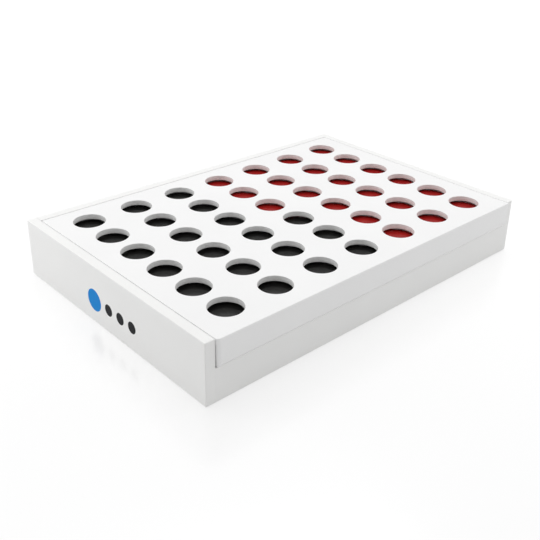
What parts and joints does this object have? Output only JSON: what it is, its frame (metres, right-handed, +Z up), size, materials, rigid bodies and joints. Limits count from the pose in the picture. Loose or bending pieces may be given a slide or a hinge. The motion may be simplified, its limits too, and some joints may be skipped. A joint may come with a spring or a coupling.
{
  "type": "four in a row game set",
  "caption": "Table-top four-in-a-row set: perforated hollow board with captive black and red discs, lying flush in a shallow tray with a cut-down front wall.",
  "frame": {"origin": "under the middle of the set, on the tray's underside", "axes": "+X along the tray's long side, from the left end wall to the right one; +Y from the cut-down front wall to the back wall; +Z up"},
  "size_m": [0.238, 0.1632, 0.034],
  "materials": {
    "tray_white_lacquer": "MDF, sprayed white lacquer, satin",
    "board_white_lacquer": "MDF, sprayed white lacquer, satin",
    "black_disc_lacquer": "wooden disc, black lacquer, semi-gloss",
    "red_disc_lacquer": "wooden disc, red lacquer, semi-gloss"
  },
  "bodies": {
    "tray": {"bottom_panel": "tray_white_lacquer", "left_end_wall": "tray_white_lacquer", "right_end_wall": "tray_white_lacquer", "back_wall": "tray_white_lacquer", "front_wall": "tray_white_lacquer", "left_support_ledge": "tray_white_lacquer", "right_support_ledge": "tray_white_lacquer"},
    "board": {"board_front_plate": "board_white_lacquer", "board_back_plate": "board_white_lacquer", "board_bottom_rail": "board_white_lacquer", "board_left_rail": "board_white_lacquer", "board_right_rail": "board_white_lacquer", "column_divider_1": "board_white_lacquer", "column_divider_2": "board_white_lacquer", "column_divider_3": "board_white_lacquer", "column_divider_4": "board_white_lacquer", "column_divider_5": "board_white_lacquer", "column_divider_6": "board_white_lacquer"},
    "black_disc_column_1_row_1": {"black_disc_column_1_row_1": "black_disc_lacquer"},
    "black_disc_column_1_row_2": {"black_disc_column_1_row_2": "black_disc_lacquer"},
    "black_disc_column_1_row_3": {"black_disc_column_1_row_3": "black_disc_lacquer"},
    "black_disc_column_1_row_4": {"black_disc_column_1_row_4": "black_disc_lacquer"},
    "black_disc_column_1_row_5": {"black_disc_column_1_row_5": "black_disc_lacquer"},
    "black_disc_column_1_row_6": {"black_disc_column_1_row_6": "black_disc_lacquer"},
    "black_disc_column_2_row_1": {"black_disc_column_2_row_1": "black_disc_lacquer"},
    "black_disc_column_2_row_2": {"black_disc_column_2_row_2": "black_disc_lacquer"},
    "black_disc_column_2_row_3": {"black_disc_column_2_row_3": "black_disc_lacquer"},
    "black_disc_column_2_row_4": {"black_disc_column_2_row_4": "black_disc_lacquer"},
    "black_disc_column_2_row_5": {"black_disc_column_2_row_5": "black_disc_lacquer"},
    "black_disc_column_2_row_6": {"black_disc_column_2_row_6": "black_disc_lacquer"},
    "black_disc_column_3_row_1": {"black_disc_column_3_row_1": "black_disc_lacquer"},
    "black_disc_column_3_row_2": {"black_disc_column_3_row_2": "black_disc_lacquer"},
    "black_disc_column_3_row_3": {"black_disc_column_3_row_3": "black_disc_lacquer"},
    "black_disc_column_3_row_4": {"black_disc_column_3_row_4": "black_disc_lacquer"},
    "black_disc_column_3_row_5": {"black_disc_column_3_row_5": "black_disc_lacquer"},
    "black_disc_column_3_row_6": {"black_disc_column_3_row_6": "black_disc_lacquer"},
    "black_disc_column_4_row_1": {"black_disc_column_4_row_1": "black_disc_lacquer"},
    "black_disc_column_4_row_2": {"black_disc_column_4_row_2": "black_disc_lacquer"},
    "black_disc_column_4_row_3": {"black_disc_column_4_row_3": "black_disc_lacquer"},
    "red_disc_column_4_row_4": {"red_disc_column_4_row_4": "red_disc_lacquer"},
    "red_disc_column_4_row_5": {"red_disc_column_4_row_5": "red_disc_lacquer"},
    "red_disc_column_4_row_6": {"red_disc_column_4_row_6": "red_disc_lacquer"},
    "red_disc_column_5_row_1": {"red_disc_column_5_row_1": "red_disc_lacquer"},
    "red_disc_column_5_row_2": {"red_disc_column_5_row_2": "red_disc_lacquer"},
    "red_disc_column_5_row_3": {"red_disc_column_5_row_3": "red_disc_lacquer"},
    "red_disc_column_5_row_4": {"red_disc_column_5_row_4": "red_disc_lacquer"},
    "red_disc_column_5_row_5": {"red_disc_column_5_row_5": "red_disc_lacquer"},
    "red_disc_column_5_row_6": {"red_disc_column_5_row_6": "red_disc_lacquer"},
    "red_disc_column_6_row_1": {"red_disc_column_6_row_1": "red_disc_lacquer"},
    "red_disc_column_6_row_2": {"red_disc_column_6_row_2": "red_disc_lacquer"},
    "red_disc_column_6_row_3": {"red_disc_column_6_row_3": "red_disc_lacquer"},
    "red_disc_column_6_row_4": {"red_disc_column_6_row_4": "red_disc_lacquer"},
    "red_disc_column_6_row_5": {"red_disc_column_6_row_5": "red_disc_lacquer"},
    "red_disc_column_6_row_6": {"red_disc_column_6_row_6": "red_disc_lacquer"},
    "red_disc_column_7_row_1": {"red_disc_column_7_row_1": "red_disc_lacquer"},
    "red_disc_column_7_row_2": {"red_disc_column_7_row_2": "red_disc_lacquer"},
    "red_disc_column_7_row_3": {"red_disc_column_7_row_3": "red_disc_lacquer"},
    "red_disc_column_7_row_4": {"red_disc_column_7_row_4": "red_disc_lacquer"},
    "red_disc_column_7_row_5": {"red_disc_column_7_row_5": "red_disc_lacquer"},
    "red_disc_column_7_row_6": {"red_disc_column_7_row_6": "red_disc_lacquer"}
  },
  "joints": [
    {"name": "board_lift", "type": "slide", "parent": "tray", "child": "board", "axis": [0, 0, 1], "range_m": [0, 0.06]},
    {"name": "disc_slide_column_1_row_1", "type": "slide", "parent": "board", "child": "black_disc_column_1_row_1", "axis": [0, 1, 0], "range_m": [0, 0.0055]},
    {"name": "disc_slide_column_1_row_2", "type": "slide", "parent": "board", "child": "black_disc_column_1_row_2", "axis": [0, 1, 0], "range_m": [0, 0.0055]},
    {"name": "disc_slide_column_1_row_3", "type": "slide", "parent": "board", "child": "black_disc_column_1_row_3", "axis": [0, 1, 0], "range_m": [0, 0.0055]},
    {"name": "disc_slide_column_1_row_4", "type": "slide", "parent": "board", "child": "black_disc_column_1_row_4", "axis": [0, 1, 0], "range_m": [0, 0.0055]},
    {"name": "disc_slide_column_1_row_5", "type": "slide", "parent": "board", "child": "black_disc_column_1_row_5", "axis": [0, 1, 0], "range_m": [0, 0.0055]},
    {"name": "disc_slide_column_1_row_6", "type": "slide", "parent": "board", "child": "black_disc_column_1_row_6", "axis": [0, 1, 0], "range_m": [0, 0.0055]},
    {"name": "disc_slide_column_2_row_1", "type": "slide", "parent": "board", "child": "black_disc_column_2_row_1", "axis": [0, 1, 0], "range_m": [0, 0.0055]},
    {"name": "disc_slide_column_2_row_2", "type": "slide", "parent": "board", "child": "black_disc_column_2_row_2", "axis": [0, 1, 0], "range_m": [0, 0.0055]},
    {"name": "disc_slide_column_2_row_3", "type": "slide", "parent": "board", "child": "black_disc_column_2_row_3", "axis": [0, 1, 0], "range_m": [0, 0.0055]},
    {"name": "disc_slide_column_2_row_4", "type": "slide", "parent": "board", "child": "black_disc_column_2_row_4", "axis": [0, 1, 0], "range_m": [0, 0.0055]},
    {"name": "disc_slide_column_2_row_5", "type": "slide", "parent": "board", "child": "black_disc_column_2_row_5", "axis": [0, 1, 0], "range_m": [0, 0.0055]},
    {"name": "disc_slide_column_2_row_6", "type": "slide", "parent": "board", "child": "black_disc_column_2_row_6", "axis": [0, 1, 0], "range_m": [0, 0.0055]},
    {"name": "disc_slide_column_3_row_1", "type": "slide", "parent": "board", "child": "black_disc_column_3_row_1", "axis": [0, 1, 0], "range_m": [0, 0.0055]},
    {"name": "disc_slide_column_3_row_2", "type": "slide", "parent": "board", "child": "black_disc_column_3_row_2", "axis": [0, 1, 0], "range_m": [0, 0.0055]},
    {"name": "disc_slide_column_3_row_3", "type": "slide", "parent": "board", "child": "black_disc_column_3_row_3", "axis": [0, 1, 0], "range_m": [0, 0.0055]},
    {"name": "disc_slide_column_3_row_4", "type": "slide", "parent": "board", "child": "black_disc_column_3_row_4", "axis": [0, 1, 0], "range_m": [0, 0.0055]},
    {"name": "disc_slide_column_3_row_5", "type": "slide", "parent": "board", "child": "black_disc_column_3_row_5", "axis": [0, 1, 0], "range_m": [0, 0.0055]},
    {"name": "disc_slide_column_3_row_6", "type": "slide", "parent": "board", "child": "black_disc_column_3_row_6", "axis": [0, 1, 0], "range_m": [0, 0.0055]},
    {"name": "disc_slide_column_4_row_1", "type": "slide", "parent": "board", "child": "black_disc_column_4_row_1", "axis": [0, 1, 0], "range_m": [0, 0.0055]},
    {"name": "disc_slide_column_4_row_2", "type": "slide", "parent": "board", "child": "black_disc_column_4_row_2", "axis": [0, 1, 0], "range_m": [0, 0.0055]},
    {"name": "disc_slide_column_4_row_3", "type": "slide", "parent": "board", "child": "black_disc_column_4_row_3", "axis": [0, 1, 0], "range_m": [0, 0.0055]},
    {"name": "disc_slide_column_4_row_4", "type": "slide", "parent": "board", "child": "red_disc_column_4_row_4", "axis": [0, 1, 0], "range_m": [0, 0.0055]},
    {"name": "disc_slide_column_4_row_5", "type": "slide", "parent": "board", "child": "red_disc_column_4_row_5", "axis": [0, 1, 0], "range_m": [0, 0.0055]},
    {"name": "disc_slide_column_4_row_6", "type": "slide", "parent": "board", "child": "red_disc_column_4_row_6", "axis": [0, 1, 0], "range_m": [0, 0.0055]},
    {"name": "disc_slide_column_5_row_1", "type": "slide", "parent": "board", "child": "red_disc_column_5_row_1", "axis": [0, 1, 0], "range_m": [0, 0.0055]},
    {"name": "disc_slide_column_5_row_2", "type": "slide", "parent": "board", "child": "red_disc_column_5_row_2", "axis": [0, 1, 0], "range_m": [0, 0.0055]},
    {"name": "disc_slide_column_5_row_3", "type": "slide", "parent": "board", "child": "red_disc_column_5_row_3", "axis": [0, 1, 0], "range_m": [0, 0.0055]},
    {"name": "disc_slide_column_5_row_4", "type": "slide", "parent": "board", "child": "red_disc_column_5_row_4", "axis": [0, 1, 0], "range_m": [0, 0.0055]},
    {"name": "disc_slide_column_5_row_5", "type": "slide", "parent": "board", "child": "red_disc_column_5_row_5", "axis": [0, 1, 0], "range_m": [0, 0.0055]},
    {"name": "disc_slide_column_5_row_6", "type": "slide", "parent": "board", "child": "red_disc_column_5_row_6", "axis": [0, 1, 0], "range_m": [0, 0.0055]},
    {"name": "disc_slide_column_6_row_1", "type": "slide", "parent": "board", "child": "red_disc_column_6_row_1", "axis": [0, 1, 0], "range_m": [0, 0.0055]},
    {"name": "disc_slide_column_6_row_2", "type": "slide", "parent": "board", "child": "red_disc_column_6_row_2", "axis": [0, 1, 0], "range_m": [0, 0.0055]},
    {"name": "disc_slide_column_6_row_3", "type": "slide", "parent": "board", "child": "red_disc_column_6_row_3", "axis": [0, 1, 0], "range_m": [0, 0.0055]},
    {"name": "disc_slide_column_6_row_4", "type": "slide", "parent": "board", "child": "red_disc_column_6_row_4", "axis": [0, 1, 0], "range_m": [0, 0.0055]},
    {"name": "disc_slide_column_6_row_5", "type": "slide", "parent": "board", "child": "red_disc_column_6_row_5", "axis": [0, 1, 0], "range_m": [0, 0.0055]},
    {"name": "disc_slide_column_6_row_6", "type": "slide", "parent": "board", "child": "red_disc_column_6_row_6", "axis": [0, 1, 0], "range_m": [0, 0.0055]},
    {"name": "disc_slide_column_7_row_1", "type": "slide", "parent": "board", "child": "red_disc_column_7_row_1", "axis": [0, 1, 0], "range_m": [0, 0.0055]},
    {"name": "disc_slide_column_7_row_2", "type": "slide", "parent": "board", "child": "red_disc_column_7_row_2", "axis": [0, 1, 0], "range_m": [0, 0.0055]},
    {"name": "disc_slide_column_7_row_3", "type": "slide", "parent": "board", "child": "red_disc_column_7_row_3", "axis": [0, 1, 0], "range_m": [0, 0.0055]},
    {"name": "disc_slide_column_7_row_4", "type": "slide", "parent": "board", "child": "red_disc_column_7_row_4", "axis": [0, 1, 0], "range_m": [0, 0.0055]},
    {"name": "disc_slide_column_7_row_5", "type": "slide", "parent": "board", "child": "red_disc_column_7_row_5", "axis": [0, 1, 0], "range_m": [0, 0.0055]},
    {"name": "disc_slide_column_7_row_6", "type": "slide", "parent": "board", "child": "red_disc_column_7_row_6", "axis": [0, 1, 0], "range_m": [0, 0.0055]}
  ],
  "couplings": [
    {"joint": "disc_slide_column_1_row_2", "follows": "disc_slide_column_1_row_1", "ratio": 1},
    {"joint": "disc_slide_column_1_row_3", "follows": "disc_slide_column_1_row_1", "ratio": 1},
    {"joint": "disc_slide_column_1_row_4", "follows": "disc_slide_column_1_row_1", "ratio": 1},
    {"joint": "disc_slide_column_1_row_5", "follows": "disc_slide_column_1_row_1", "ratio": 1},
    {"joint": "disc_slide_column_1_row_6", "follows": "disc_slide_column_1_row_1", "ratio": 1},
    {"joint": "disc_slide_column_2_row_2", "follows": "disc_slide_column_2_row_1", "ratio": 1},
    {"joint": "disc_slide_column_2_row_3", "follows": "disc_slide_column_2_row_1", "ratio": 1},
    {"joint": "disc_slide_column_2_row_4", "follows": "disc_slide_column_2_row_1", "ratio": 1},
    {"joint": "disc_slide_column_2_row_5", "follows": "disc_slide_column_2_row_1", "ratio": 1},
    {"joint": "disc_slide_column_2_row_6", "follows": "disc_slide_column_2_row_1", "ratio": 1},
    {"joint": "disc_slide_column_3_row_2", "follows": "disc_slide_column_3_row_1", "ratio": 1},
    {"joint": "disc_slide_column_3_row_3", "follows": "disc_slide_column_3_row_1", "ratio": 1},
    {"joint": "disc_slide_column_3_row_4", "follows": "disc_slide_column_3_row_1", "ratio": 1},
    {"joint": "disc_slide_column_3_row_5", "follows": "disc_slide_column_3_row_1", "ratio": 1},
    {"joint": "disc_slide_column_3_row_6", "follows": "disc_slide_column_3_row_1", "ratio": 1},
    {"joint": "disc_slide_column_4_row_2", "follows": "disc_slide_column_4_row_1", "ratio": 1},
    {"joint": "disc_slide_column_4_row_3", "follows": "disc_slide_column_4_row_1", "ratio": 1},
    {"joint": "disc_slide_column_4_row_4", "follows": "disc_slide_column_4_row_1", "ratio": 1},
    {"joint": "disc_slide_column_4_row_5", "follows": "disc_slide_column_4_row_1", "ratio": 1},
    {"joint": "disc_slide_column_4_row_6", "follows": "disc_slide_column_4_row_1", "ratio": 1},
    {"joint": "disc_slide_column_5_row_2", "follows": "disc_slide_column_5_row_1", "ratio": 1},
    {"joint": "disc_slide_column_5_row_3", "follows": "disc_slide_column_5_row_1", "ratio": 1},
    {"joint": "disc_slide_column_5_row_4", "follows": "disc_slide_column_5_row_1", "ratio": 1},
    {"joint": "disc_slide_column_5_row_5", "follows": "disc_slide_column_5_row_1", "ratio": 1},
    {"joint": "disc_slide_column_5_row_6", "follows": "disc_slide_column_5_row_1", "ratio": 1},
    {"joint": "disc_slide_column_6_row_2", "follows": "disc_slide_column_6_row_1", "ratio": 1},
    {"joint": "disc_slide_column_6_row_3", "follows": "disc_slide_column_6_row_1", "ratio": 1},
    {"joint": "disc_slide_column_6_row_4", "follows": "disc_slide_column_6_row_1", "ratio": 1},
    {"joint": "disc_slide_column_6_row_5", "follows": "disc_slide_column_6_row_1", "ratio": 1},
    {"joint": "disc_slide_column_6_row_6", "follows": "disc_slide_column_6_row_1", "ratio": 1},
    {"joint": "disc_slide_column_7_row_2", "follows": "disc_slide_column_7_row_1", "ratio": 1},
    {"joint": "disc_slide_column_7_row_3", "follows": "disc_slide_column_7_row_1", "ratio": 1},
    {"joint": "disc_slide_column_7_row_4", "follows": "disc_slide_column_7_row_1", "ratio": 1},
    {"joint": "disc_slide_column_7_row_5", "follows": "disc_slide_column_7_row_1", "ratio": 1},
    {"joint": "disc_slide_column_7_row_6", "follows": "disc_slide_column_7_row_1", "ratio": 1}
  ]
}
